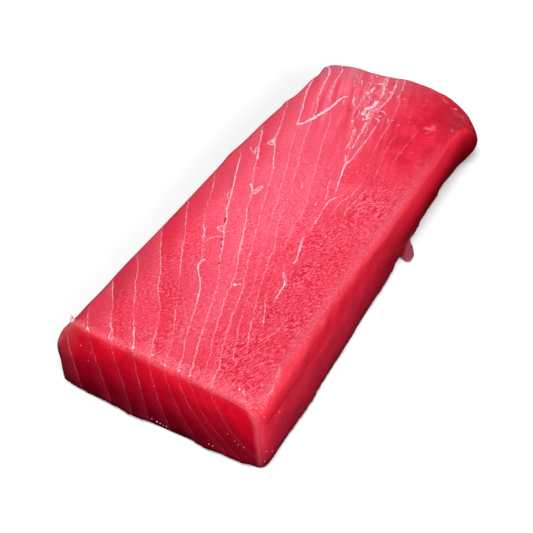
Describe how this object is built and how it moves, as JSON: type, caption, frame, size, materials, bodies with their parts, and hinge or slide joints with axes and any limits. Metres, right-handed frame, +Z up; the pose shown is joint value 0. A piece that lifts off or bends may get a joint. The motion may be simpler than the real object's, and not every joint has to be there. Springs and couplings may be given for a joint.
{
  "type": "raw tuna block",
  "caption": "Long block of raw red tuna loin with squared cuts, a rounded left wall, a sloping far corner and a small torn scrap at its foot.",
  "frame": {"origin": "centre of the bounding box's bottom face, on the surface the block lies on", "axes": "+Y along the block from the near cut to the far cut, +X towards the right long wall, +Z up"},
  "size_m": [0.0926, 0.2187, 0.025],
  "materials": {
    "raw_tuna": null
  },
  "bodies": {
    "root": {"tuna_block": "raw_tuna"}
  },
  "joints": []
}
